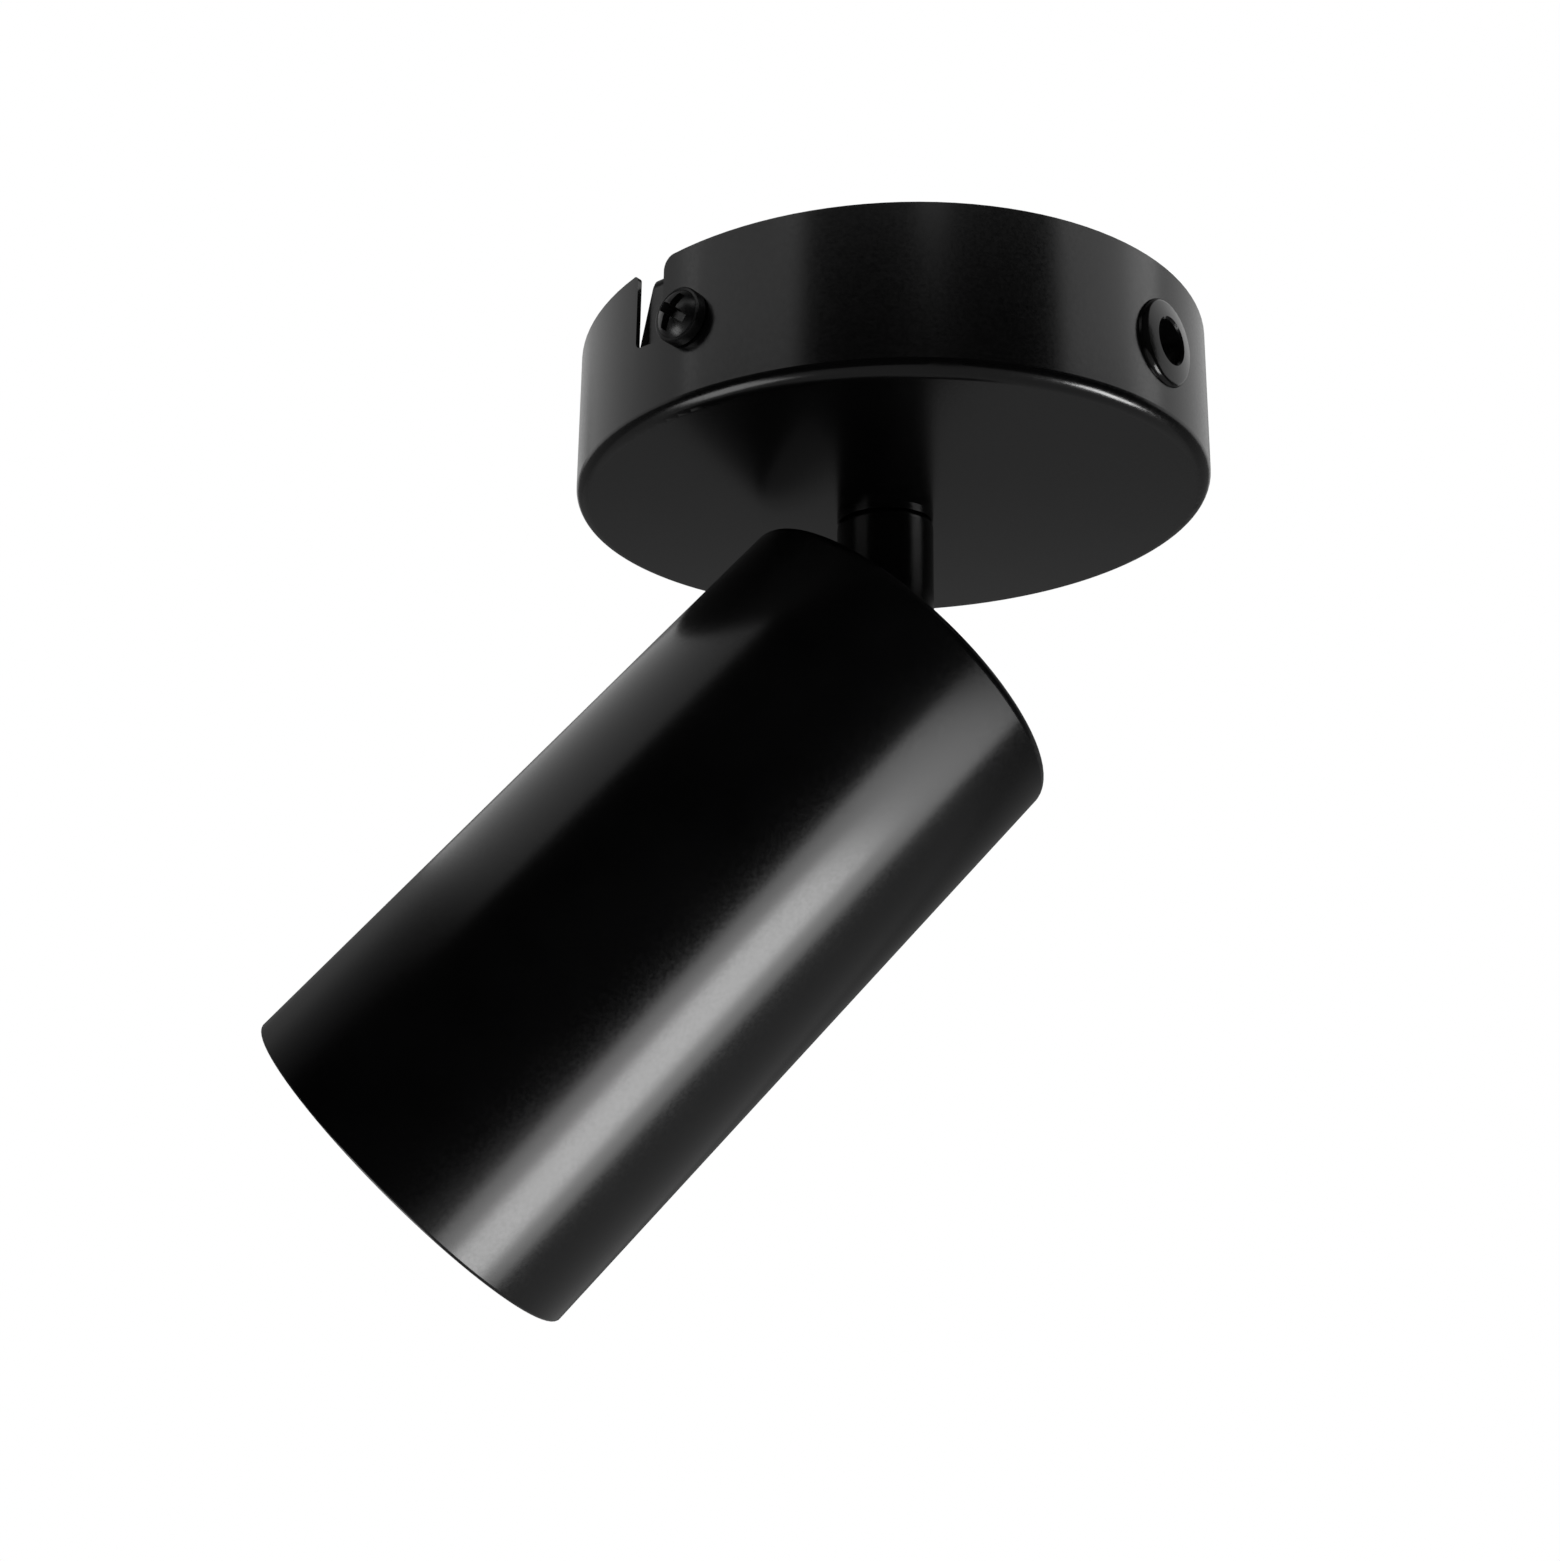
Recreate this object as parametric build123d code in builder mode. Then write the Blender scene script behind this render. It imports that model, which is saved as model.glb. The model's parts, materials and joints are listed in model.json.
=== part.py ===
"""Ceiling spotlight: round canopy, swivelling stem and tilting cylindrical head. Millimetres and degrees."""

import os
from math import cos, radians, sin, tan

from build123d import *

os.makedirs("parts", exist_ok=True)

# Canopy: a pressed cup whose rim lies on the ceiling plane, height zero
canopy_diameter = 100.0
canopy_height = 24.0
canopy_sheet = 0.8
canopy_edge_radius = 2.0

# Bayonet slots: a way in from the rim and a run that slopes down to the screw, so a twist lifts the canopy
slot_way_near = 4.5
slot_way_far = 10.3
slot_slope = 8.0
slot_floor_radius = 1.2
slot_lip_near = 1.9
slot_lip_far = 0.9

# Canopy screws and the strap they hold
screw_diameter = 4.0
screw_drop = 11.0
screw_head_diameter = 7.8
screw_head_height = 3.1
screw_head_dome = 1.4
screw_head_gap = 0.2
screw_tip = 8.5
strap_turn = 46.1
strap_width = 17.2
strap_sheet = 1.5
strap_bend_radius = 0.7
ear_wall_gap = 1.8
ear_depth = 15.0
ear_foot_width = 24.0
ear_corner = 4.0
ceiling_hole_diameter = 5.0
ceiling_hole_circle = 76.0
strap_slot_length = 9.0
strap_slot_place = 27.0

# Cable grommet in the canopy wall
grommet_turn = -50.4
grommet_drop = 11.9
grommet_diameter = 12.6
grommet_neck_diameter = 9.4
grommet_bore_diameter = 6.4
grommet_stand = 2.2
grommet_edge_stand = 1.4
grommet_edge_radius = 1.0
grommet_back = 2.2

# Swivel
stem_diameter = 15.5
stem_top_edge = 1.0
collar_height = 1.2
nipple_diameter = 12.0
nipple_bore_diameter = 9.0
nipple_engagement = 10.5
nipple_above_nut = 1.4
thread_fit = 0.02
running_fit = 0.08
spring_washer_diameter = 20.0
spring_washer_sheet = 0.8
stop_washer_diameter = 19.0
stop_washer_sheet = 1.0
stop_tab_reach = 14.6
stop_tab_width = 2.4
stop_peg_diameter = 2.4
stop_peg_place = 13.0
stop_peg_height = 2.4
lock_nut_flats = 17.0
lock_nut_height = 4.0

# Tilt hinge inside the cap end of the head
tilt = 42.4
tilt_most = 50.0
pivot_drop = 53.5
pivot_depth = 4.5
pivot_side = 1.5
pivot_gap = 0.35
hinge_bolt_diameter = 3.0
hinge_head_diameter = 5.5
hinge_head_height = 2.0
hinge_nut_flats = 5.5
hinge_nut_height = 4.0
hinge_bolt_past_nut = 0.8
friction_washer_diameter = 6.4
friction_washer_sheet = 1.1
washer_seat_gap = 0.3
bracket_sheet = 1.5
bracket_half_width = 9.0
bracket_depth = 27.3
bracket_flange_reach = 18.0
bracket_notch_radius = 3.6
bracket_bend_radius = 1.0

# Head
head_diameter = 60.0
head_length = 106.0
head_sheet = 1.0
head_cap_radius = 1.6
head_mouth_radius = 0.45

# Lamp holder and lamp
holder_diameter = 28.0
holder_height = 16.0
holder_step_diameter = 22.0
holder_step_height = 4.0
holder_screw_diameter = 3.0
holder_screw_head = 5.0
holder_screw_head_height = 2.0
holder_screw_depth = 7.0
holder_screw_place = 4.5
pin_place = 5.0
pin_diameter = 2.5
pin_head_diameter = 4.8
pin_neck = 2.2
pin_head_height = 4.6
pin_socket_gap = 0.35
lamp_base_diameter = 24.0
lamp_base_height = 7.0
lamp_diameter = 50.0
lamp_length = 48.0
lamp_rim_height = 5.0
lamp_wall = 1.4
lens_sheet = 1.6
lens_ledge = 1.2
lens_back = 0.8
emitter_diameter = 12.0
emitter_sheet = 1.2
cup_floor_depth = 22.0
cup_floor_diameter = 15.0

# Supply terminals and inner leads
block_near = 14.0
block_depth = 17.0
block_height = 12.5
block_waist = 11.0
block_shoulder = 6.0
pole_pitch = 9.0
pole_groove_width = 1.6
pole_groove_depth = 5.0
terminal_drop = 8.0
sleeve_diameter = 4.6
sleeve_bore_diameter = 3.4
terminal_screw_diameter = 3.0
terminal_screw_place = 3.4
terminal_screw_sunk = 0.8
block_screw_diameter = 3.0
block_screw_head = 5.0
block_screw_head_height = 1.8
lead_diameter = 2.0
lead_bend = 4.0
lead_place = 2.9
lead_stem_end = 63.0
lead_turn_out = 8.0
lead_clear_depth = 22.5
lead_holder_depth = 3.0
earth_screw_place = -16.0
earth_screw_diameter = 4.0
earth_head_diameter = 7.0
earth_head_height = 2.4
lug_sheet = 1.0
lug_diameter = 8.0
lug_barrel_diameter = 3.6
lug_barrel_from = -11.5
lug_barrel_to = -6.5
lug_barrel_drop = 3.3

# Places that follow from the sizes above
canopy_radius = canopy_diameter / 2
canopy_inner_radius = canopy_radius - canopy_sheet
canopy_floor = canopy_sheet - canopy_height
stem_radius = stem_diameter / 2
stem_top = -canopy_height - collar_height
nipple_radius = nipple_diameter / 2
nipple_bore_radius = nipple_bore_diameter / 2
stop_washer_base = canopy_floor + spring_washer_sheet
lock_nut_base = stop_washer_base + stop_washer_sheet
nipple_top = lock_nut_base + lock_nut_height + nipple_above_nut
nipple_bottom = stem_top - nipple_engagement
cheek_inner = stem_radius + pivot_gap
cheek_outer = cheek_inner + bracket_sheet
knuckle_flat = cheek_inner - friction_washer_sheet
head_radius = head_diameter / 2
head_inner_radius = head_radius - head_sheet
holder_front = bracket_depth + holder_height
lamp_face = holder_front + lamp_length
lens_depth = lamp_face - lens_back - lens_sheet
lamp_flare_end = lamp_face - lamp_rim_height
cup_floor = lamp_face - cup_floor_depth
block_middle = block_near + block_depth / 2

tilt_cos = cos(radians(tilt))
tilt_sin = sin(radians(tilt))
head_way = Vector(-tilt_sin, 0, -tilt_cos)
head_side = Vector(tilt_cos, 0, -tilt_sin)
pivot = Vector(0, 0, -pivot_drop)
cap_centre = pivot - head_way * pivot_depth - head_side * pivot_side

# Planes: head_section has the head's side along x and its depth along y
head_plane = Plane(origin=cap_centre, x_dir=head_side, z_dir=head_way)
head_section = Plane(origin=cap_centre, x_dir=head_side, z_dir=(0, 1, 0))
head_axis = Axis(cap_centre, head_way)
pivot_plane = Plane(origin=pivot, x_dir=(1, 0, 0), z_dir=(0, 1, 0))
strap_along = Vector(cos(radians(strap_turn)), sin(radians(strap_turn)), 0)
strap_across = Vector(-strap_along.Y, strap_along.X, 0)
strap_plane = Plane(origin=(0, 0, 0), x_dir=strap_along, z_dir=(0, 0, 1))
strap_section = Plane(origin=(0, 0, 0), x_dir=strap_along, z_dir=strap_across * -1)
far_ear_plane = Plane(origin=(0, 0, 0), x_dir=strap_across, z_dir=strap_along)
near_ear_plane = Plane(origin=(0, 0, 0), x_dir=strap_across * -1, z_dir=strap_along * -1)
grommet_out = Vector(cos(radians(grommet_turn)), sin(radians(grommet_turn)), 0)
grommet_across = Vector(-grommet_out.Y, grommet_out.X, 0)
grommet_centre = Vector(0, 0, -grommet_drop)
grommet_plane = Plane(origin=grommet_centre, x_dir=grommet_across, z_dir=grommet_out)
grommet_section = Plane(origin=grommet_centre, x_dir=(0, 0, 1), z_dir=grommet_across)
grommet_axis = Axis(grommet_centre, grommet_out)

# Canopy shell
slot_half = screw_diameter / 2 + running_fit
slot_edge = Vector(sin(radians(slot_slope)), cos(radians(slot_slope))) * slot_half
slot_floor_rise = (slot_way_far - slot_edge.X) * tan(radians(slot_slope))
slot_roof_rise = (slot_way_near + slot_edge.X) * tan(radians(slot_slope))
slot_mouth = slot_lip_near + slot_lip_far
with BuildPart() as canopy:
    with BuildSketch(Plane.XZ):
        with BuildLine():
            FilletPolyline(
                (nipple_radius + running_fit, -canopy_height),
                (canopy_radius, -canopy_height),
                (canopy_radius, 0),
                (canopy_inner_radius, 0),
                (canopy_inner_radius, canopy_floor),
                (nipple_radius + running_fit, canopy_floor),
                radius=(0, canopy_edge_radius, 0, 0, canopy_edge_radius - canopy_sheet, 0),
                close=True,
            )
        make_face()
    revolve(axis=Axis.Z)
    with BuildSketch(far_ear_plane, near_ear_plane):
        with BuildLine():
            FilletPolyline(
                (-slot_way_far, -screw_drop - slot_edge.Y + slot_floor_rise),
                (-slot_way_far, 0),
                (-slot_way_far - slot_mouth, 0),
                (-slot_way_far - slot_mouth, slot_mouth),
                (-slot_way_near + slot_mouth, slot_mouth),
                (-slot_way_near + slot_mouth, 0),
                (-slot_way_near, 0),
                (-slot_way_near, -screw_drop + slot_edge.Y + slot_roof_rise),
                (slot_edge.X, -screw_drop + slot_edge.Y),
                (-slot_edge.X, -screw_drop - slot_edge.Y),
                radius=(slot_floor_radius, slot_lip_far, 0, 0, 0, 0, slot_lip_near, 0, 0, 0),
                close=True,
            )
        make_face()
        with Locations((0, -screw_drop)):
            Circle(slot_half)
    extrude(amount=canopy_diameter, mode=Mode.SUBTRACT)
    with BuildSketch(grommet_plane):
        Circle(grommet_neck_diameter / 2)
    extrude(amount=canopy_diameter, mode=Mode.SUBTRACT)
canopy.part.label = "canopy"
export_step(canopy.part, "parts/canopy.step")

# Mounting strap: a channel of sheet whose ears widen towards their feet
ear_face = canopy_inner_radius - ear_wall_gap
ear_back = ear_face - strap_sheet
strap_half = strap_width / 2
ear_foot_half = ear_foot_width / 2
with BuildPart() as mounting_strap:
    with BuildSketch(strap_section):
        with BuildLine():
            FilletPolyline(
                (-ear_face, -ear_depth),
                (-ear_face, 0),
                (ear_face, 0),
                (ear_face, -ear_depth),
                (ear_back, -ear_depth),
                (ear_back, -strap_sheet),
                (-ear_back, -strap_sheet),
                (-ear_back, -ear_depth),
                radius=(
                    0,
                    strap_bend_radius + strap_sheet,
                    strap_bend_radius + strap_sheet,
                    0,
                    0,
                    strap_bend_radius,
                    strap_bend_radius,
                    0,
                ),
                close=True,
            )
        make_face()
    extrude(amount=ear_foot_half, both=True)
    with BuildSketch(far_ear_plane):
        with BuildLine():
            FilletPolyline(
                (-strap_half, 0),
                (strap_half, 0),
                (strap_half, -strap_sheet),
                (ear_foot_half, -ear_depth),
                (-ear_foot_half, -ear_depth),
                (-strap_half, -strap_sheet),
                radius=(0, 0, 0, ear_corner, ear_corner, 0),
                close=True,
            )
        make_face()
    extrude(amount=canopy_radius, both=True, mode=Mode.INTERSECT)
    with BuildSketch(far_ear_plane, near_ear_plane):
        with Locations((0, -screw_drop)):
            Circle(screw_diameter / 2 + thread_fit)
    extrude(amount=canopy_diameter, mode=Mode.SUBTRACT)
    with BuildSketch(strap_plane):
        with Locations((ceiling_hole_circle / 2, 0), (-ceiling_hole_circle / 2, 0)):
            Circle(ceiling_hole_diameter / 2)
        with Locations((-strap_slot_place, 0)):
            SlotOverall(strap_slot_length, ceiling_hole_diameter)
        with Locations((earth_screw_place, 0)):
            Circle(earth_screw_diameter / 2 + thread_fit)
        with Locations((block_middle, pole_pitch / 2)):
            Circle(block_screw_diameter / 2 + thread_fit)
    extrude(amount=-strap_sheet, mode=Mode.SUBTRACT)
mounting_strap.part.label = "mounting_strap"
export_step(mounting_strap.part, "parts/mounting_strap.step")

# Two canopy screws on one line, threaded through the ears
screw_seat = canopy_radius + screw_head_gap
screw_shoulder = screw_seat + screw_head_height - screw_head_dome
dome_radius = ((screw_head_diameter / 2) ** 2 + screw_head_dome**2) / (2 * screw_head_dome)
screw_line = Vector(0, 0, -screw_drop)
with BuildPart() as canopy_screws:
    with BuildSketch(Plane(origin=screw_line, x_dir=(0, 0, 1), z_dir=strap_across)):
        with BuildLine():
            Polyline(
                (0, screw_seat + screw_head_height),
                (0, screw_seat - screw_tip),
                (screw_diameter / 2, screw_seat - screw_tip),
                (screw_diameter / 2, screw_seat),
                (screw_head_diameter / 2, screw_seat),
                (screw_head_diameter / 2, screw_shoulder),
            )
            RadiusArc(
                (screw_head_diameter / 2, screw_shoulder),
                (0, screw_seat + screw_head_height),
                -dome_radius,
            )
        make_face()
        mirror(about=Plane.XZ)
    revolve(axis=Axis(screw_line, strap_along), clean=False)
canopy_screws.part.label = "canopy_screws"
export_step(canopy_screws.part, "parts/canopy_screws.step")

# Rubber grommet: coned outer lip, neck through the wall and inner lip, both lips shaped to the curved wall
with BuildPart() as cable_grommet:
    with BuildSketch(grommet_section):
        with BuildLine():
            FilletPolyline(
                (0, canopy_inner_radius - grommet_back),
                (grommet_diameter / 2, canopy_inner_radius - grommet_back),
                (grommet_diameter / 2, canopy_radius + grommet_edge_stand),
                (grommet_bore_diameter / 2, canopy_radius + grommet_stand),
                (0, canopy_radius + grommet_stand),
                radius=(0, 0, grommet_edge_radius, 0, 0),
                close=True,
            )
        make_face()
    revolve(axis=grommet_axis)
    with BuildSketch(Plane.XY):
        Circle(canopy_radius)
        Circle(canopy_inner_radius, mode=Mode.SUBTRACT)
    extrude(amount=-canopy_height, mode=Mode.SUBTRACT)
    with BuildSketch(grommet_plane.offset(canopy_inner_radius - grommet_back / 2)):
        Circle(grommet_neck_diameter / 2)
    extrude(amount=grommet_back / 2 + canopy_sheet + grommet_stand / 2)
    with BuildSketch(grommet_plane):
        Circle(grommet_bore_diameter / 2)
    extrude(amount=canopy_diameter, mode=Mode.SUBTRACT)
cable_grommet.part.label = "cable_grommet"
export_step(cable_grommet.part, "parts/cable_grommet.step")

# Collar between canopy and stem
with BuildPart() as swivel_collar:
    with BuildSketch(Plane.XY.offset(-canopy_height)):
        Circle(stem_radius)
        Circle(nipple_radius + running_fit, mode=Mode.SUBTRACT)
    extrude(amount=-collar_height)
swivel_collar.part.label = "swivel_collar"
export_step(swivel_collar.part, "parts/swivel_collar.step")

# Peg inside the canopy that stops the swivel
with BuildPart() as stop_peg:
    with BuildSketch(Plane.XY.offset(canopy_floor)):
        with Locations((stop_peg_place, 0)):
            Circle(stop_peg_diameter / 2)
    extrude(amount=stop_peg_height)
stop_peg.part.label = "stop_peg"
export_step(stop_peg.part, "parts/stop_peg.step")

# Stem with a rounded knuckle, washer seats and a bore for the leads
with BuildPart() as swivel_stem:
    with BuildSketch(Plane.XZ):
        with BuildLine():
            FilletPolyline(
                (0, stem_top),
                (stem_radius, stem_top),
                (stem_radius, -pivot_drop - stem_radius),
                (0, -pivot_drop - stem_radius),
                radius=(0, stem_top_edge, 0, 0),
                close=True,
            )
        make_face()
    revolve(axis=Axis.Z)
    with BuildSketch(pivot_plane):
        Circle(stem_radius)
        with Locations((0, -pivot_drop / 2)):
            Rectangle(stem_diameter, pivot_drop)
    extrude(amount=stem_radius, both=True, mode=Mode.INTERSECT)
    with BuildSketch(Plane.XY.offset(stem_top)):
        Circle(nipple_radius + thread_fit)
    extrude(amount=-nipple_engagement, mode=Mode.SUBTRACT)
    with BuildSketch(Plane.XY.offset(stem_top)):
        Circle(nipple_bore_radius)
    extrude(amount=-pivot_drop, mode=Mode.SUBTRACT)
    with BuildSketch(pivot_plane.offset(knuckle_flat), pivot_plane.offset(-cheek_inner)):
        Circle(friction_washer_diameter / 2 + washer_seat_gap)
    extrude(amount=friction_washer_sheet, mode=Mode.SUBTRACT)
    with BuildSketch(pivot_plane):
        Circle(hinge_bolt_diameter / 2 + running_fit)
    extrude(amount=stem_radius, both=True, mode=Mode.SUBTRACT)
swivel_stem.part.label = "swivel_stem"
export_step(swivel_stem.part, "parts/swivel_stem.step")

# Hollow nipple that joins the stem to the canopy
with BuildPart() as threaded_nipple:
    with BuildSketch(Plane.XY.offset(nipple_bottom)):
        Circle(nipple_radius)
        Circle(nipple_bore_radius, mode=Mode.SUBTRACT)
    extrude(amount=nipple_top - nipple_bottom)
threaded_nipple.part.label = "threaded_nipple"
export_step(threaded_nipple.part, "parts/threaded_nipple.step")

with BuildPart() as spring_washer:
    with BuildSketch(Plane.XY.offset(canopy_floor)):
        Circle(spring_washer_diameter / 2)
        Circle(nipple_radius + running_fit, mode=Mode.SUBTRACT)
    extrude(amount=spring_washer_sheet)
spring_washer.part.label = "spring_washer"
export_step(spring_washer.part, "parts/spring_washer.step")

# Washer whose tab meets the peg at both ends of the swivel
with BuildPart() as stop_washer:
    with BuildSketch(Plane.XY.offset(stop_washer_base)):
        Circle(stop_washer_diameter / 2)
        with Locations((-stop_tab_reach / 2, 0)):
            Rectangle(stop_tab_reach, stop_tab_width)
        Circle(nipple_radius + thread_fit, mode=Mode.SUBTRACT)
    extrude(amount=stop_washer_sheet)
stop_washer.part.label = "stop_washer"
export_step(stop_washer.part, "parts/stop_washer.step")

with BuildPart() as lock_nut:
    with BuildSketch(Plane.XY.offset(lock_nut_base)):
        RegularPolygon(lock_nut_flats / 2, 6, major_radius=False)
        Circle(nipple_radius + thread_fit, mode=Mode.SUBTRACT)
    extrude(amount=lock_nut_height)
lock_nut.part.label = "lock_nut"
export_step(lock_nut.part, "parts/lock_nut.step")

# Head shell: closed cap with a slot for the stem, open mouth
slot_reach = pivot_depth * tan(radians(tilt_most)) + stem_radius / cos(radians(tilt_most)) + pivot_gap
with BuildPart() as head_shell:
    with BuildSketch(head_section):
        with BuildLine():
            FilletPolyline(
                (0, 0),
                (head_radius, 0),
                (head_radius, head_length),
                (head_inner_radius, head_length),
                (head_inner_radius, head_sheet),
                (0, head_sheet),
                radius=(0, head_cap_radius, head_mouth_radius, 0, head_cap_radius - head_sheet, 0),
                close=True,
            )
        make_face()
    revolve(axis=head_axis)
    with BuildSketch(head_plane):
        with Locations((pivot_side + (cheek_inner - slot_reach) / 2, 0)):
            SlotOverall(slot_reach + cheek_inner, cheek_inner * 2)
    extrude(amount=head_sheet, mode=Mode.SUBTRACT)
head_shell.part.label = "head_shell"
export_step(head_shell.part, "parts/head_shell.step")

# Hinge bracket: two cheeks with flanges under the cap, joined by a web that carries the lamp holder
with BuildPart() as hinge_bracket:
    with BuildSketch(Plane(origin=cap_centre, x_dir=(0, 1, 0), z_dir=head_side)):
        with BuildLine():
            FilletPolyline(
                (bracket_flange_reach, -head_sheet),
                (cheek_inner, -head_sheet),
                (cheek_inner, bracket_sheet - bracket_depth),
                (-cheek_inner, bracket_sheet - bracket_depth),
                (-cheek_inner, -head_sheet),
                (-bracket_flange_reach, -head_sheet),
                (-bracket_flange_reach, -head_sheet - bracket_sheet),
                (-cheek_outer, -head_sheet - bracket_sheet),
                (-cheek_outer, -bracket_depth),
                (cheek_outer, -bracket_depth),
                (cheek_outer, -head_sheet - bracket_sheet),
                (bracket_flange_reach, -head_sheet - bracket_sheet),
                radius=(
                    0,
                    bracket_bend_radius,
                    bracket_bend_radius,
                    bracket_bend_radius,
                    bracket_bend_radius,
                    0,
                    0,
                    bracket_bend_radius / 2,
                    bracket_bend_radius + bracket_sheet,
                    bracket_bend_radius + bracket_sheet,
                    bracket_bend_radius / 2,
                    0,
                ),
                close=True,
            )
        make_face()
    extrude(amount=bracket_half_width, both=True)
    with BuildSketch(pivot_plane.offset(cheek_outer), pivot_plane.offset(-bracket_flange_reach)):
        Circle(bracket_notch_radius)
    extrude(amount=bracket_flange_reach - cheek_outer, mode=Mode.SUBTRACT)
    with BuildSketch(pivot_plane):
        Circle(hinge_bolt_diameter / 2 + running_fit)
    extrude(amount=cheek_outer, both=True, mode=Mode.SUBTRACT)
    with BuildSketch(head_plane.offset(bracket_depth)):
        with Locations((holder_screw_place, 0), (-holder_screw_place, 0)):
            Circle(holder_screw_diameter / 2 + running_fit)
        with Locations((0, pin_place), (0, -pin_place)):
            Circle(lead_diameter / 2 + pin_socket_gap)
    extrude(amount=-bracket_sheet, mode=Mode.SUBTRACT)
hinge_bracket.part.label = "hinge_bracket"
export_step(hinge_bracket.part, "parts/hinge_bracket.step")

with BuildPart() as hinge_bolt:
    with BuildSketch(pivot_plane.offset(-cheek_outer)):
        Circle(hinge_head_diameter / 2)
    extrude(amount=-hinge_head_height)
    with BuildSketch(pivot_plane.offset(-cheek_outer)):
        Circle(hinge_bolt_diameter / 2)
    extrude(amount=cheek_outer * 2 + hinge_nut_height + hinge_bolt_past_nut)
hinge_bolt.part.label = "hinge_bolt"
export_step(hinge_bolt.part, "parts/hinge_bolt.step")

with BuildPart() as hinge_nut:
    with BuildSketch(pivot_plane.offset(cheek_outer)):
        RegularPolygon(hinge_nut_flats / 2, 6, major_radius=False, rotation=-tilt)
        Circle(hinge_bolt_diameter / 2 + thread_fit, mode=Mode.SUBTRACT)
    extrude(amount=hinge_nut_height)
hinge_nut.part.label = "hinge_nut"
export_step(hinge_nut.part, "parts/hinge_nut.step")

# One friction washer each side, between knuckle and cheek
with BuildPart() as friction_washers:
    with BuildSketch(pivot_plane.offset(knuckle_flat), pivot_plane.offset(-cheek_inner)):
        Circle(friction_washer_diameter / 2)
        Circle(hinge_bolt_diameter / 2 + running_fit, mode=Mode.SUBTRACT)
    extrude(amount=friction_washer_sheet)
friction_washers.part.label = "friction_washers"
export_step(friction_washers.part, "parts/friction_washers.step")

# Ceramic lamp holder with two pin sockets, screw holes and lead holes
with BuildPart() as lamp_holder:
    with BuildSketch(head_plane.offset(bracket_depth)):
        Circle(holder_step_diameter / 2)
    extrude(amount=holder_step_height)
    with BuildSketch(head_plane.offset(bracket_depth + holder_step_height)):
        Circle(holder_diameter / 2)
    extrude(amount=holder_height - holder_step_height)
    with BuildSketch(head_plane.offset(holder_front)):
        with Locations((0, pin_place), (0, -pin_place)):
            Circle(pin_head_diameter / 2 + pin_socket_gap)
    extrude(amount=-pin_neck - pin_head_height - pin_socket_gap, mode=Mode.SUBTRACT)
    with BuildSketch(head_plane.offset(bracket_depth)):
        with Locations((holder_screw_place, 0), (-holder_screw_place, 0)):
            Circle(holder_screw_diameter / 2 + thread_fit)
    extrude(amount=holder_screw_depth, mode=Mode.SUBTRACT)
    with BuildSketch(head_plane.offset(bracket_depth)):
        with Locations((0, pin_place), (0, -pin_place)):
            Circle(lead_diameter / 2 + thread_fit)
    extrude(amount=lead_holder_depth, mode=Mode.SUBTRACT)
lamp_holder.part.label = "lamp_holder"
export_step(lamp_holder.part, "parts/lamp_holder.step")

with BuildPart() as holder_screws:
    with BuildSketch(head_plane.offset(bracket_depth - bracket_sheet)):
        with Locations((holder_screw_place, 0), (-holder_screw_place, 0)):
            Circle(holder_screw_head / 2)
    extrude(amount=-holder_screw_head_height)
    with BuildSketch(head_plane.offset(bracket_depth - bracket_sheet)):
        with Locations((holder_screw_place, 0), (-holder_screw_place, 0)):
            Circle(holder_screw_diameter / 2)
    extrude(amount=holder_screw_depth)
holder_screws.part.label = "holder_screws"
export_step(holder_screws.part, "parts/holder_screws.step")

# Reflector lamp: flared body with an open cup and a ledge for the lens
with BuildPart() as lamp_body:
    with BuildSketch(head_section):
        with BuildLine():
            Polyline(
                (0, holder_front),
                (lamp_base_diameter / 2, holder_front),
                (lamp_base_diameter / 2, holder_front + lamp_base_height),
                (lamp_diameter / 2, lamp_flare_end),
                (lamp_diameter / 2, lamp_face),
                (lamp_diameter / 2 - lamp_wall, lamp_face),
                (lamp_diameter / 2 - lamp_wall, lens_depth),
                (lamp_diameter / 2 - lamp_wall - lens_ledge, lens_depth),
                (cup_floor_diameter / 2, cup_floor),
                (0, cup_floor),
                close=True,
            )
        make_face()
    revolve(axis=head_axis)
    with BuildSketch(head_plane.offset(holder_front)):
        with Locations((0, pin_place), (0, -pin_place)):
            Circle(pin_diameter / 2 + thread_fit)
    extrude(amount=pin_neck, mode=Mode.SUBTRACT)
lamp_body.part.label = "lamp_body"
export_step(lamp_body.part, "parts/lamp_body.step")

with BuildPart() as lamp_lens:
    with BuildSketch(head_plane.offset(lens_depth)):
        Circle(lamp_diameter / 2 - lamp_wall - thread_fit)
    extrude(amount=lens_sheet)
lamp_lens.part.label = "lamp_lens"
export_step(lamp_lens.part, "parts/lamp_lens.step")

with BuildPart() as lamp_emitter:
    with BuildSketch(head_plane.offset(cup_floor)):
        Circle(emitter_diameter / 2)
    extrude(amount=emitter_sheet)
lamp_emitter.part.label = "lamp_emitter"
export_step(lamp_emitter.part, "parts/lamp_emitter.step")

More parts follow.
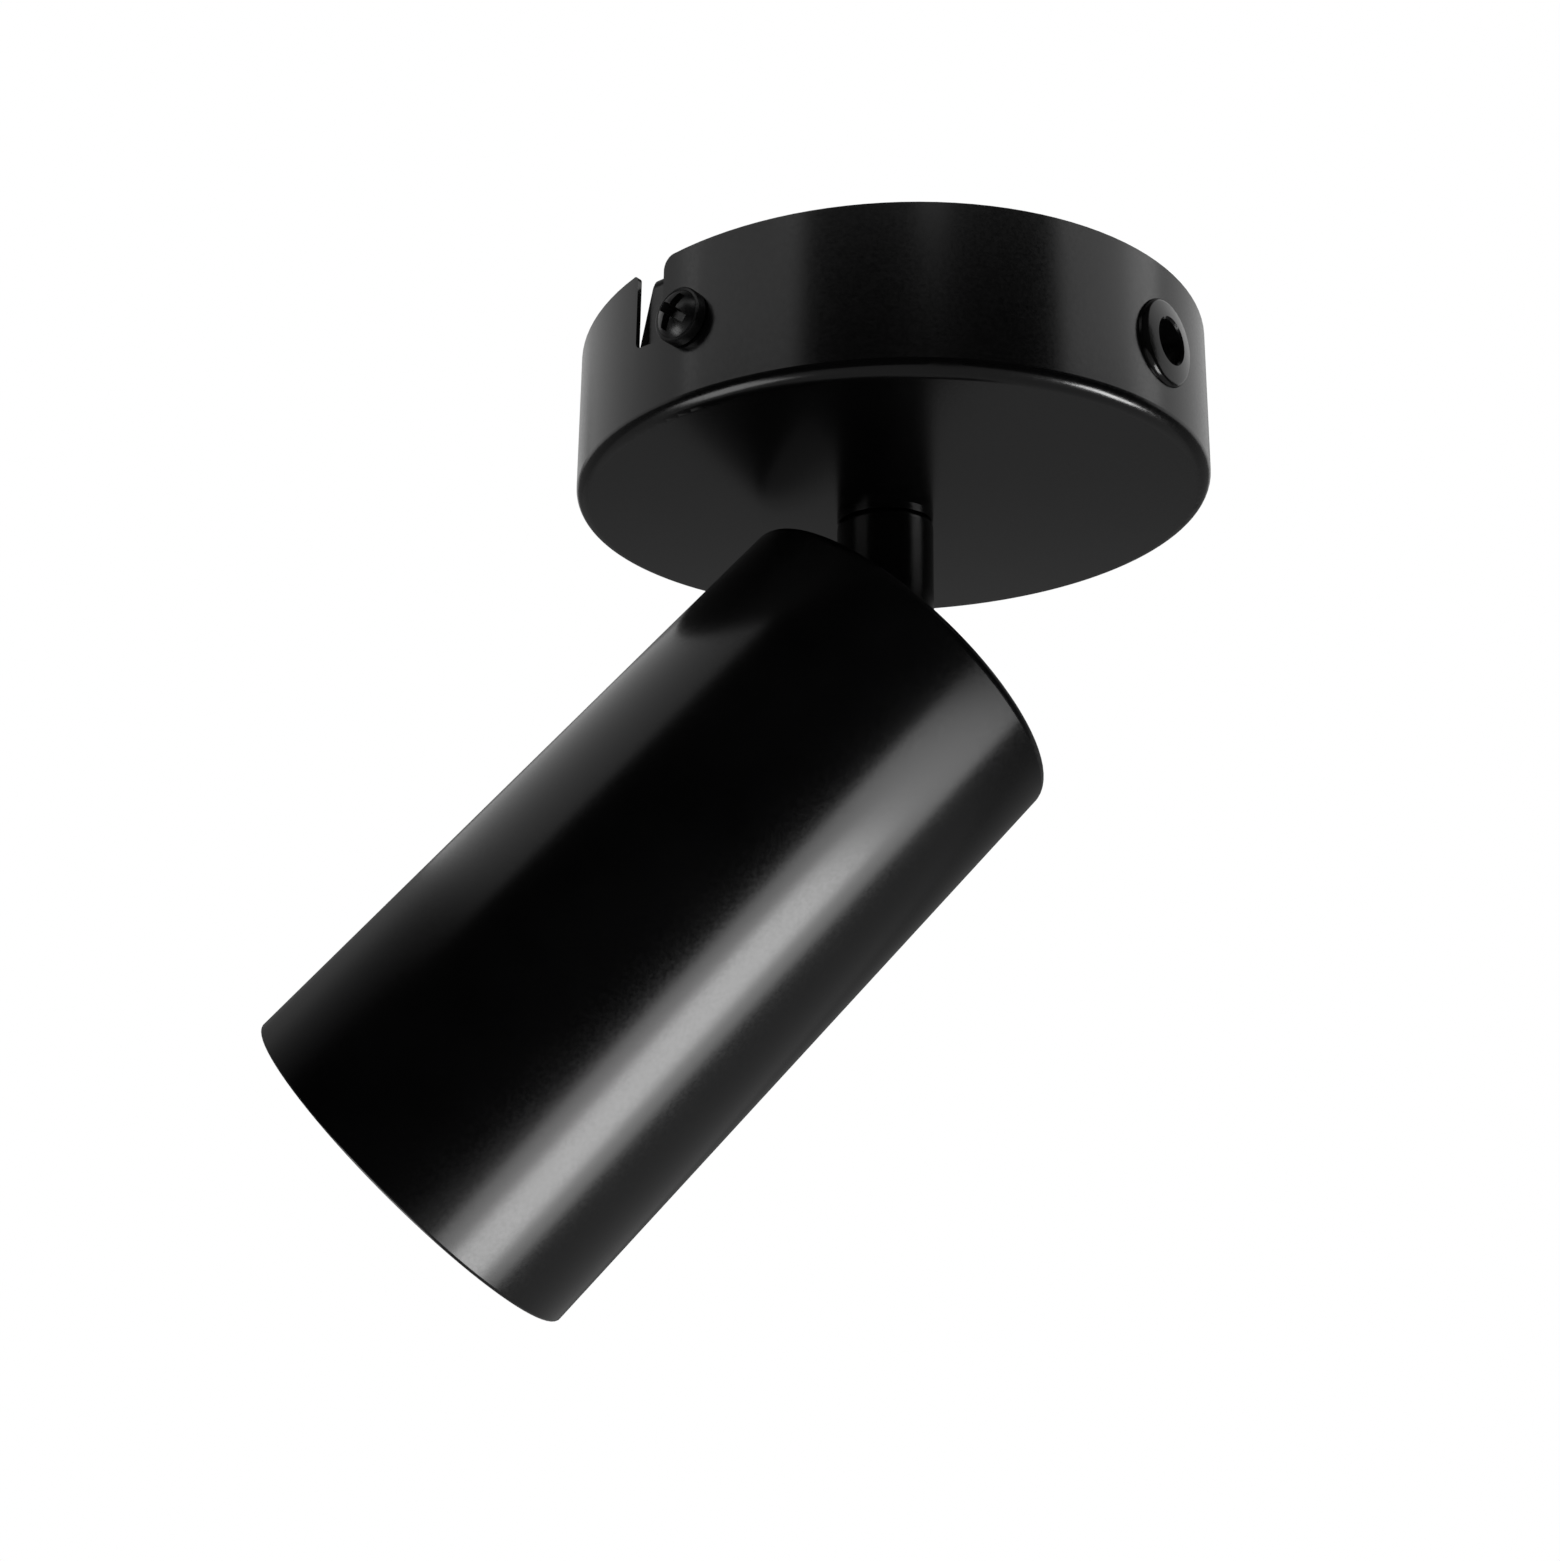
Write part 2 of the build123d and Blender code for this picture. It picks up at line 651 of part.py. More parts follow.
with BuildPart() as lamp_pins:
    with BuildSketch(head_plane.offset(holder_front)):
        with Locations((0, pin_place), (0, -pin_place)):
            Circle(pin_diameter / 2)
    extrude(amount=pin_neck)
    with BuildSketch(head_plane.offset(holder_front)):
        with Locations((0, pin_place), (0, -pin_place)):
            Circle(pin_diameter / 2)
    extrude(amount=-pin_neck)
    with BuildSketch(head_plane.offset(holder_front - pin_neck)):
        with Locations((0, pin_place), (0, -pin_place)):
            Circle(pin_head_diameter / 2)
    extrude(amount=-pin_head_height)
lamp_pins.part.label = "lamp_pins"
export_step(lamp_pins.part, "parts/lamp_pins.step")

# Terminal block under the strap, three poles side by side
block_face = -strap_sheet - block_height
pole_places = (pole_pitch, 0, -pole_pitch)
clamp_ways = (block_middle - terminal_screw_place, block_middle + terminal_screw_place)
clamp_places = [(way, place) for place in pole_places for way in clamp_ways]
sleeve_places = [(place, -terminal_drop) for place in pole_places]
with BuildPart() as terminal_block:
    with BuildSketch(strap_section.offset(-pole_pitch * 1.5)):
        with BuildLine():
            FilletPolyline(
                (block_near, -strap_sheet),
                (block_near + block_depth, -strap_sheet),
                (block_near + block_depth, block_face + block_shoulder),
                (block_middle + block_waist / 2, block_face),
                (block_middle - block_waist / 2, block_face),
                (block_near, block_face + block_shoulder),
                radius=(0.8, 0.8, 1.0, 1.0, 1.0, 1.0),
                close=True,
            )
        make_face()
    extrude(amount=pole_pitch * 3)
    with BuildSketch(strap_plane.offset(block_face)):
        with Locations((block_middle, pole_pitch / 2), (block_middle, -pole_pitch / 2)):
            Rectangle(block_depth, pole_groove_width)
    extrude(amount=pole_groove_depth, mode=Mode.SUBTRACT)
    with BuildSketch(Plane(origin=strap_along * block_near, x_dir=strap_across, z_dir=strap_along)):
        with Locations(*sleeve_places):
            Circle(sleeve_diameter / 2 + thread_fit)
    extrude(amount=block_depth, mode=Mode.SUBTRACT)
    with BuildSketch(strap_plane.offset(block_face)):
        with Locations(*clamp_places):
            Circle(terminal_screw_diameter / 2 + thread_fit)
    extrude(amount=block_height - terminal_drop + strap_sheet, mode=Mode.SUBTRACT)
    with BuildSketch(strap_plane.offset(block_face)):
        with Locations((block_middle, pole_pitch / 2)):
            Circle(block_screw_diameter / 2 + thread_fit)
    extrude(amount=block_height, mode=Mode.SUBTRACT)
    with BuildSketch(strap_plane.offset(block_face)):
        with Locations((block_middle, pole_pitch / 2)):
            Circle(block_screw_head / 2 + running_fit)
    extrude(amount=pole_groove_depth, mode=Mode.SUBTRACT)
terminal_block.part.label = "terminal_block"
export_step(terminal_block.part, "parts/terminal_block.step")

with BuildPart() as terminal_sleeves:
    with BuildSketch(Plane(origin=strap_along * (block_near + 1), x_dir=strap_across, z_dir=strap_along)):
        with Locations(*sleeve_places):
            Circle(sleeve_diameter / 2)
            Circle(sleeve_bore_diameter / 2, mode=Mode.SUBTRACT)
    extrude(amount=block_depth - 2)
    with BuildSketch(strap_plane.offset(block_face)):
        with Locations(*clamp_places):
            Circle(terminal_screw_diameter / 2 + thread_fit)
    extrude(amount=block_height - terminal_drop + strap_sheet, mode=Mode.SUBTRACT)
terminal_sleeves.part.label = "terminal_sleeves"
export_step(terminal_sleeves.part, "parts/terminal_sleeves.step")

# Clamp screws reach down to the lead inside each sleeve
with BuildPart() as terminal_screws:
    with BuildSketch(strap_plane.offset(block_face + terminal_screw_sunk)):
        with Locations(*clamp_places):
            Circle(terminal_screw_diameter / 2)
    extrude(amount=-terminal_drop - lead_diameter / 2 - block_face - terminal_screw_sunk)
terminal_screws.part.label = "terminal_screws"
export_step(terminal_screws.part, "parts/terminal_screws.step")

with BuildPart() as block_screw:
    with BuildSketch(strap_plane.offset(block_face + pole_groove_depth)):
        with Locations((block_middle, pole_pitch / 2)):
            Circle(block_screw_head / 2)
    extrude(amount=-block_screw_head_height)
    with BuildSketch(strap_plane.offset(block_face + pole_groove_depth)):
        with Locations((block_middle, pole_pitch / 2)):
            Circle(block_screw_diameter / 2)
    extrude(amount=-block_face - pole_groove_depth)
block_screw.part.label = "block_screw"
export_step(block_screw.part, "parts/block_screw.step")

# Earth screw, ring lug and lead on the strap
with BuildPart() as earth_screw:
    with BuildSketch(strap_plane.offset(-strap_sheet - lug_sheet)):
        with Locations((earth_screw_place, 0)):
            Circle(earth_head_diameter / 2)
    extrude(amount=-earth_head_height)
    with BuildSketch(strap_plane.offset(-strap_sheet - lug_sheet)):
        with Locations((earth_screw_place, 0)):
            Circle(earth_screw_diameter / 2)
    extrude(amount=strap_sheet + lug_sheet)
earth_screw.part.label = "earth_screw"
export_step(earth_screw.part, "parts/earth_screw.step")

lug_barrel_start = strap_along * lug_barrel_from + Vector(0, 0, -lug_barrel_drop)
lug_barrel_plane = Plane(origin=lug_barrel_start, x_dir=strap_across, z_dir=strap_along)
with BuildPart() as earth_lug:
    with BuildSketch(strap_plane.offset(-strap_sheet)):
        with Locations((earth_screw_place, 0)):
            Circle(lug_diameter / 2)
        with Locations(((earth_screw_place + lug_barrel_to) / 2, 0)):
            Rectangle(lug_barrel_to - earth_screw_place, lug_barrel_diameter)
        with Locations((earth_screw_place, 0)):
            Circle(earth_screw_diameter / 2 + running_fit, mode=Mode.SUBTRACT)
    extrude(amount=-lug_sheet)
    with BuildSketch(lug_barrel_plane):
        Circle(lug_barrel_diameter / 2)
    extrude(amount=lug_barrel_to - lug_barrel_from)
    with BuildSketch(lug_barrel_plane):
        Circle(lead_diameter / 2 + thread_fit)
    extrude(amount=lug_barrel_to - lug_barrel_from, mode=Mode.SUBTRACT)
earth_lug.part.label = "earth_lug"
export_step(earth_lug.part, "parts/earth_lug.step")

lead_end = block_middle + terminal_screw_place
earth_points = (
    strap_plane.from_local_coords((lead_end, -pole_pitch, -terminal_drop)),
    strap_plane.from_local_coords((pole_pitch, -pole_pitch, -terminal_drop)),
    strap_plane.from_local_coords((-1, 0, -lug_barrel_drop)),
    strap_plane.from_local_coords((lug_barrel_from, 0, -lug_barrel_drop)),
)
with BuildPart() as earth_lead:
    with BuildLine() as earth_path:
        FilletPolyline(*earth_points, radius=lead_bend)
    with BuildSketch(Plane(origin=earth_points[0], z_dir=strap_along * -1)):
        Circle(lead_diameter / 2)
    sweep(path=earth_path.wire())
earth_lead.part.label = "earth_lead"
export_step(earth_lead.part, "parts/earth_lead.step")

# Live and neutral leads: terminals, down the stem on either side of the hinge bolt, then into the holder
holder_entry = bracket_depth + lead_holder_depth
live_points = (
    strap_plane.from_local_coords((lead_end, pole_pitch, -terminal_drop)),
    strap_plane.from_local_coords((lead_turn_out, pole_pitch, -terminal_drop)),
    (-lead_place, 0, -terminal_drop),
    (-lead_place, 0, -lead_stem_end),
    head_plane.from_local_coords((0, -pin_place, lead_clear_depth)),
    head_plane.from_local_coords((0, -pin_place, holder_entry)),
)
neutral_points = (
    strap_plane.from_local_coords((lead_end, 0, -terminal_drop)),
    strap_plane.from_local_coords((lead_turn_out, 0, -terminal_drop)),
    (lead_place, 0, -terminal_drop),
    (lead_place, 0, -lead_stem_end),
    head_plane.from_local_coords((0, pin_place, lead_clear_depth)),
    head_plane.from_local_coords((0, pin_place, holder_entry)),
)
with BuildPart() as live_lead:
    with BuildLine() as live_path:
        FilletPolyline(*live_points, radius=lead_bend)
    with BuildSketch(Plane(origin=live_points[0], z_dir=strap_along * -1)):
        Circle(lead_diameter / 2)
    sweep(path=live_path.wire())
live_lead.part.label = "live_lead"
export_step(live_lead.part, "parts/live_lead.step")

with BuildPart() as neutral_lead:
    with BuildLine() as neutral_path:
        FilletPolyline(*neutral_points, radius=lead_bend)
    with BuildSketch(Plane(origin=neutral_points[0], z_dir=strap_along * -1)):
        Circle(lead_diameter / 2)
    sweep(path=neutral_path.wire())
neutral_lead.part.label = "neutral_lead"
export_step(neutral_lead.part, "parts/neutral_lead.step")
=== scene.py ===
"""Looks of the ceiling spotlight: finishes, detailed fasteners, leads and lens, in soft studio light.

Lengths are in metres."""

import json
from collections import namedtuple
from math import cos, pi, radians, sin, tau

import bmesh
import bpy
import numpy as np
from mathutils import Matrix, Vector

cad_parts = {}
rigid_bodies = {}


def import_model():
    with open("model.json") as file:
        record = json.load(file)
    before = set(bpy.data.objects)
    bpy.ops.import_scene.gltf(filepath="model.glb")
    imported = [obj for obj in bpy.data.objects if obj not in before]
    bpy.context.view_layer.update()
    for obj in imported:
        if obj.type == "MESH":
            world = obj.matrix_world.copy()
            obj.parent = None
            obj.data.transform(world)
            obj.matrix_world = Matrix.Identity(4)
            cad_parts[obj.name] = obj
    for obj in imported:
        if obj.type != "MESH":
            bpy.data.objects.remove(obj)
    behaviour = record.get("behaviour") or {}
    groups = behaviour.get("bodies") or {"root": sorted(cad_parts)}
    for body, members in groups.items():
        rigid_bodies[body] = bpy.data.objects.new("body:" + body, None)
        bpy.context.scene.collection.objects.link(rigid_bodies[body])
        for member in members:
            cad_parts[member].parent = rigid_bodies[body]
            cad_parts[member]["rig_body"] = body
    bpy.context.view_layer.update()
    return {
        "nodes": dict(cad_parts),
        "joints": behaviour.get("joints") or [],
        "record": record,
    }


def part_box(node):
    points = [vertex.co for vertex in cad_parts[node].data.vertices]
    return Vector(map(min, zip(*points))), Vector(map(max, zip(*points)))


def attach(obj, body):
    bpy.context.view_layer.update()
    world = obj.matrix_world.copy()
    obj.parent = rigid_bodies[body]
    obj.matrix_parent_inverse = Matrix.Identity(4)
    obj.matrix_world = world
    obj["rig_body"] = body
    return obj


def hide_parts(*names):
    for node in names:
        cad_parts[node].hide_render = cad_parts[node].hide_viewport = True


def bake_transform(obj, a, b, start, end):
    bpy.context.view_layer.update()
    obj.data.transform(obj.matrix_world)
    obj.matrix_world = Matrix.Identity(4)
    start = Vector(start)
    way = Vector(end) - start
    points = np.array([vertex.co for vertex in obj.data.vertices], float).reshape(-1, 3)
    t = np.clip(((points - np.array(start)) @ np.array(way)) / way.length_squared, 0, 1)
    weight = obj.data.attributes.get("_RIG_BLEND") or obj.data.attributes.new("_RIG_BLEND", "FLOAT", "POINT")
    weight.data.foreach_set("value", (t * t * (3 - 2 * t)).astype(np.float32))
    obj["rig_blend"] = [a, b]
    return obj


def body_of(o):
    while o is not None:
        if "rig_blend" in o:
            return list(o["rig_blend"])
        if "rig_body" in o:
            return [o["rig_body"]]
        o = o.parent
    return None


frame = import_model()
nodes = frame["nodes"]
joints = {joint["name"]: joint for joint in frame["joints"]}
mounts = {mount["name"]: mount for mount in frame["record"]["mounts"]}
slots = {subpart["node"]: subpart["material_slot"] for subpart in frame["record"]["subparts"]}
MM = 0.001

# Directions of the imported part: its hinge runs along the depth, away from the camera,
# and its head hangs straight down at the tilt's lower limit
up = Vector((0, 0, 1))
depth_way = Vector((0, 1, 0))
pivot = Vector(joints["tilt"]["pos_m"])
rest_tilt = radians(-joints["tilt"]["range_deg"][0])
head_way = Vector((-sin(rest_tilt), 0, -cos(rest_tilt)))
head_side = Vector((cos(rest_tilt), 0, -sin(rest_tilt)))


# Shader node helpers

def new_material(name):
    """A material with nodes, its tree and its surface shader."""
    material = bpy.data.materials.new(name)
    material.use_nodes = True
    tree = material.node_tree
    return material, tree, tree.nodes["Principled BSDF"]


def add(tree, kind, **settings):
    """A node of that kind with its own settings, such as an operation."""
    node = tree.nodes.new(kind)
    for key, value in settings.items():
        setattr(node, key, value)
    return node


def feed(tree, value, socket):
    """Gives a socket another node's output or a constant."""
    if isinstance(value, bpy.types.NodeSocket):
        tree.links.new(value, socket)
    else:
        socket.default_value = value


def calculate(tree, operation, first, second):
    """Result of an operation on two numbers."""
    node = add(tree, "ShaderNodeMath", operation=operation)
    feed(tree, first, node.inputs[0])
    feed(tree, second, node.inputs[1])
    return node.outputs[0]


# Places of the Mix node's two inputs and its output, for numbers and for colours
mix_sockets = {"FLOAT": (2, 3, 0), "RGBA": (6, 7, 2)}


def mixed(tree, kind, share, first, second):
    """Mix of two numbers or two colours."""
    first_place, second_place, result_place = mix_sockets[kind]
    node = add(tree, "ShaderNodeMix", data_type=kind)
    feed(tree, share, node.inputs[0])
    feed(tree, first, node.inputs[first_place])
    feed(tree, second, node.inputs[second_place])
    return node.outputs[result_place]


def noise(tree, size, detail=3.0):
    """Noise over the object's own metres, with features of about that size."""
    place = add(tree, "ShaderNodeTexCoord")
    scale = add(tree, "ShaderNodeVectorMath", operation="MULTIPLY")
    scale.inputs[1].default_value = [1 / size] * 3
    texture = add(tree, "ShaderNodeTexNoise")
    texture.inputs["Scale"].default_value = 1.0
    texture.inputs["Detail"].default_value = detail
    tree.links.new(place.outputs["Object"], scale.inputs[0])
    tree.links.new(scale.outputs["Vector"], texture.inputs["Vector"])
    return texture.outputs["Fac"]


def spread(tree, source, low, high, start=0.3, end=0.7):
    """Maps a value from start..end to low..high. The default start and end suit noise."""
    node = add(tree, "ShaderNodeMapRange")
    node.inputs["From Min"].default_value = start
    node.inputs["From Max"].default_value = end
    node.inputs["To Min"].default_value = low
    node.inputs["To Max"].default_value = high
    tree.links.new(source, node.inputs["Value"])
    return node.outputs["Result"]


def two_tone(tree, source, dark, light):
    """Mixes two colours by a texture value."""
    return mixed(tree, "RGBA", spread(tree, source, 0, 1), (*dark, 1), (*light, 1))


def bump(tree, source, depth):
    """Surface relief of that depth."""
    node = add(tree, "ShaderNodeBump")
    node.inputs["Distance"].default_value = depth
    tree.links.new(source, node.inputs["Height"])
    return node.outputs["Normal"]


def surface(name, dark, light, rough, patch, grain, depth, **sockets):
    """Base of every finish: patchy colour, and a fine grain in gloss and relief.

    Further values are set on the shader's sockets of those names."""
    material, tree, shader = new_material(name)
    clouds = noise(tree, patch)
    tree.links.new(two_tone(tree, clouds, dark, light), shader.inputs["Base Color"])
    speckle = noise(tree, grain, detail=2.0)
    tree.links.new(spread(tree, speckle, *rough), shader.inputs["Roughness"])
    tree.links.new(bump(tree, speckle, depth), shader.inputs["Normal"])
    for socket, value in sockets.items():
        shader.inputs[socket.replace("_", " ")].default_value = value
    return material


# Finishes, one function for each kind

def black_paint():
    """Satin black powder coat with a fine orange peel."""
    return surface(
        "black_paint",
        dark=(0.0008, 0.0008, 0.0009),
        light=(0.0016, 0.0016, 0.0017),
        rough=(0.18, 0.24),
        patch=14 * MM,
        grain=0.5 * MM,
        depth=0.002 * MM,
    )


def black_plating():
    """Glossy black plated screw."""
    return surface(
        "black_screw",
        dark=(0.0015, 0.0015, 0.0016),
        light=(0.003, 0.003, 0.0032),
        rough=(0.26, 0.36),
        patch=2 * MM,
        grain=0.25 * MM,
        depth=0.004 * MM,
    )


def black_rubber():
    """Smooth moulded rubber with a faint bloom."""
    return surface(
        "black_rubber",
        dark=(0.0015, 0.0015, 0.0015),
        light=(0.003, 0.003, 0.003),
        rough=(0.13, 0.20),
        patch=4 * MM,
        grain=0.35 * MM,
        depth=0.008 * MM,
    )


def zinc_steel():
    """Bright zinc plating, slightly blue, with patches of lighter spangle."""
    return surface(
        "zinc_steel",
        dark=(0.42, 0.43, 0.45),
        light=(0.60, 0.61, 0.62),
        rough=(0.26, 0.44),
        patch=3 * MM,
        grain=0.3 * MM,
        depth=0.006 * MM,
        Metallic=1.0,
    )


def lamp_glass():
    """Clear pressed glass with slight waviness."""
    return surface(
        "lamp_glass",
        dark=(0.93, 0.95, 0.95),
        light=(0.97, 0.98, 0.98),
        rough=(0.04, 0.09),
        patch=6 * MM,
        grain=1.2 * MM,
        depth=0.01 * MM,
        Transmission_Weight=1.0,
        IOR=1.5,
    )


def plain_plastic(name, dark, light, rough):
    """Moulded plastic, ceramic or insulation: slight mottle and a fine grain."""
    return surface(name, dark, light, rough, patch=5 * MM, grain=0.3 * MM, depth=0.005 * MM)


def plain_metal(name, dark, light, rough):
    """Metal with tarnish patches and a fine grain."""
    return surface(
        name,
        dark,
        light,
        rough,
        patch=2 * MM,
        grain=0.2 * MM,
        depth=0.004 * MM,
        Metallic=1.0,
    )


finishes = {
    "black_paint": black_paint(),
    "black_screw": black_plating(),
    "black_rubber": black_rubber(),
    "zinc_steel": zinc_steel(),
    "lamp_glass": lamp_glass(),
}

# Dark colour, light colour and roughness of the plain finishes
plastic_looks = {
    "nylon": ((0.66, 0.65, 0.60), (0.78, 0.77, 0.73), (0.35, 0.5)),
    "ceramic": ((0.74, 0.72, 0.67), (0.84, 0.82, 0.78), (0.45, 0.65)),
    "lamp_shell": ((0.72, 0.72, 0.71), (0.80, 0.80, 0.79), (0.25, 0.35)),
    "emitter": ((0.80, 0.62, 0.12), (0.90, 0.74, 0.22), (0.5, 0.7)),
    "terminal_plastic": ((0.70, 0.69, 0.64), (0.80, 0.79, 0.75), (0.35, 0.5)),
    "brown_sleeve": ((0.13, 0.055, 0.025), (0.19, 0.085, 0.04), (0.3, 0.45)),
    "blue_sleeve": ((0.02, 0.09, 0.34), (0.035, 0.13, 0.45), (0.3, 0.45)),
    "green_sleeve": ((0.05, 0.28, 0.05), (0.08, 0.38, 0.08), (0.3, 0.45)),
}
metal_looks = {
    "nickel_pin": ((0.60, 0.58, 0.54), (0.70, 0.68, 0.64), (0.18, 0.3)),
    "brass_terminal": ((0.58, 0.42, 0.16), (0.74, 0.57, 0.26), (0.22, 0.38)),
}
for name, look in plastic_looks.items():
    finishes[name] = plain_plastic(name, *look)
for name, look in metal_looks.items():
    finishes[name] = plain_metal(name, *look)

for node, slot in slots.items():
    materials = nodes[node].data.materials
    materials.clear()
    materials.append(finishes[slot])


# Mesh helpers

sharp_angle = radians(32)
weld_distance = 0.001 * MM


def solids(node):
    """Corner points of each separate solid of a CAD node, in a steady order."""
    shell = bmesh.new()
    shell.from_mesh(nodes[node].data)
    bmesh.ops.remove_doubles(shell, verts=shell.verts, dist=weld_distance)
    left = set(shell.verts)
    groups = []
    while left:
        group, queue = [], [left.pop()]
        while queue:
            corner = queue.pop()
            group.append(corner.co.copy())
            near = [edge.other_vert(corner) for edge in corner.link_edges]
            queue += [other for other in near if other in left]
            left.difference_update(near)
        groups.append(np.array(group))
    shell.free()
    return sorted(groups, key=lambda points: tuple(points.mean(0).round(5)))


def standing(way, side, foot):
    """Transform that stands a shape made about Z on a foot point, along the way, with X to the side."""
    way = Vector(way).normalized()
    side = (Vector(side) - way * way.dot(side)).normalized()
    turned = Matrix((side, way.cross(side), way)).transposed().to_4x4()
    turned.translation = foot
    return turned


def lathe(shape, profile, steps=64):
    """Adds a surface turned about Z from (radius, height) points to a bmesh."""
    rings = []
    for radius, height in profile:
        if radius > 0:
            turns = [tau * step / steps for step in range(steps)]
            rings.append([shape.verts.new((radius * cos(a), radius * sin(a), height)) for a in turns])
        else:
            rings.append([shape.verts.new((0, 0, height))] * steps)
    for low, high in zip(rings, rings[1:]):
        for step in range(steps):
            after = (step + 1) % steps
            corners = dict.fromkeys((low[step], low[after], high[after], high[step]))
            shape.faces.new(list(corners))


def thread(shape, radius, bottom, top, pitch, steps=24):
    """Adds a V thread about Z, from its bottom to its top height, to a bmesh."""
    groove = 0.55 * pitch
    root = radius - groove
    count = int((top - bottom) / pitch * steps) - steps
    rows = []
    for step in range(count + 1):
        turn = tau * step / steps
        height = bottom + pitch * step / steps
        low = shape.verts.new((root * cos(turn), root * sin(turn), height))
        crest = shape.verts.new((radius * cos(turn), radius * sin(turn), height + pitch / 2))
        rows.append((low, crest))
    for step in range(count):
        (low, crest), (next_low, next_crest) = rows[step], rows[step + 1]
        shape.faces.new((low, next_low, next_crest, crest))
        if step + steps < count:
            shape.faces.new((crest, next_crest, rows[step + steps + 1][0], rows[step + steps][0]))


def to_mesh(name, shape):
    """Mesh from a bmesh, which is used up."""
    mesh = bpy.data.meshes.new(name)
    shape.to_mesh(mesh)
    shape.free()
    return mesh


def in_scene(name, data):
    """Object from a mesh, curve, lamp or camera, in the scene."""
    thing = bpy.data.objects.new(name, data)
    bpy.context.scene.collection.objects.link(thing)
    return thing


def piece(name, mesh, node, rides=True):
    """Object from a mesh in the place of a CAD node, with its finish, on its body unless it bends."""
    mesh.name = name
    mesh.shade_smooth()
    mesh.set_sharp_from_angle(angle=sharp_angle)
    mesh.materials.clear()
    mesh.materials.append(finishes[slots[node]])
    thing = in_scene(name, mesh)
    if rides:
        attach(thing, *body_of(nodes[node]))
    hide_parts(node)
    return thing


def tapered_bar(length, width, top, bottom, narrow):
    """Bar along X, as a bmesh, whose bottom has that share of its top's length and width."""
    bar = bmesh.new()
    corners = ((-1, -1), (1, -1), (1, 1), (-1, 1))
    rings = []
    for height, share in ((top, 1.0), (bottom, narrow)):
        x, y = length / 2 * share, width / 2 * share
        rings.append([bar.verts.new((a * x, b * y, height)) for a, b in corners])
    high, low = rings
    bar.faces.new(high)
    bar.faces.new(low[::-1])
    for step in range(4):
        bar.faces.new((low[step], low[step - 3], high[step - 3], high[step]))
    return bar


def carved(solid, bars):
    """Mesh of a bmesh solid with bars cut out of it. Each bar comes with its turn about Z."""
    bmesh.ops.recalc_face_normals(solid, faces=solid.faces)
    block = in_scene("carved", to_mesh("carved", solid))
    cutters = []
    for bar, turn in bars:
        bmesh.ops.recalc_face_normals(bar, faces=bar.faces)
        cutter = in_scene("cutter", to_mesh("cutter", bar))
        cutter.rotation_euler.z = turn
        cutters.append(cutter)
        cut = block.modifiers.new("cut", "BOOLEAN")
        cut.operation = "DIFFERENCE"
        cut.solver = "EXACT"
        cut.object = cutter
    graph = bpy.context.evaluated_depsgraph_get()
    result = bpy.data.meshes.new_from_object(block.evaluated_get(graph))
    for thing in (block, *cutters):
        bpy.data.objects.remove(thing)
    return result


# Sizes of turned pieces, read from their CAD solids

Turned = namedtuple("Turned", "foot tip seat top head shank")


def turned_sizes(points, way):
    """Foot of the axis, heights of tip, seat and top, and radii of head and shank of a turned solid."""
    way = np.array(way)
    heights = points @ way
    flat = points - np.outer(heights, way)
    foot = (flat.min(0) + flat.max(0)) / 2
    radii = np.linalg.norm(flat - foot, axis=1)
    head = radii.max()
    seat = heights[radii > 0.97 * head].min()
    below = radii[heights < seat - 0.05 * MM]
    shank = below.max() if len(below) else head
    return Turned(Vector(foot), heights.min(), seat, heights.max(), head, shank)


# Screws

def cross_screw(name, node, points, way, side, pitch, turn=0.0):
    """Screw in place of one CAD solid: threaded shank and a pan head with a cross recess."""
    foot, tip, seat, top, head, shank = turned_sizes(points, way)
    height = top - seat
    rim = seat + 0.55 * height
    pan_head = bmesh.new()
    lathe(pan_head, (
        (0, seat),
        (0.97 * head, seat),
        (head, seat + 0.04 * height),
        (head, rim - 0.08 * height),
        (0.985 * head, rim - 0.02 * height),
        (0.95 * head, rim),
        (0.91 * head, rim - 0.01 * height),
        (0.87 * head, rim - 0.02 * height),
        (0.80 * head, rim + 0.10 * height),
        (0.62 * head, rim + 0.28 * height),
        (0.34 * head, top - 0.03 * height),
        (0, top),
    ))
    recess_floor = top - 0.72 * height
    wings = []
    for quarter in (0, pi / 2):
        wing = tapered_bar(2.0 * head, 0.5 * head, top + height, recess_floor, narrow=0.55)
        wings.append((wing, turn + quarter))
    shape = bmesh.new()
    shape.from_mesh(carved(pan_head, wings))
    point = tip + 0.5 * shank
    thread(shape, shank, point, seat + pitch, pitch)
    core = 0.8 * shank
    lathe(shape, ((0, tip), (0.55 * shank, tip), (core, point), (core, seat)), steps=24)
    shape.transform(standing(way, side, foot))
    return piece(name, to_mesh(name, shape), node)


def grub_screw(name, node, points, way, side):
    """Headless slotted screw in place of one CAD solid."""
    sizes = turned_sizes(points, way)
    tip, top, radius = sizes.tip, sizes.top, sizes.head
    edge = 0.12 * radius
    slot_floor = top - 0.7 * radius
    body = bmesh.new()
    lathe(body, (
        (0, tip),
        (radius - edge, tip),
        (radius, tip + edge),
        (radius, top - edge),
        (radius - edge, top),
        (0, top),
    ), steps=32)
    slot_bar = tapered_bar(3 * radius, 0.4 * radius, top + radius, slot_floor, narrow=1.0)
    mesh = carved(body, [(slot_bar, 0)])
    mesh.transform(standing(way, side, sizes.foot))
    return piece(name, mesh, node)


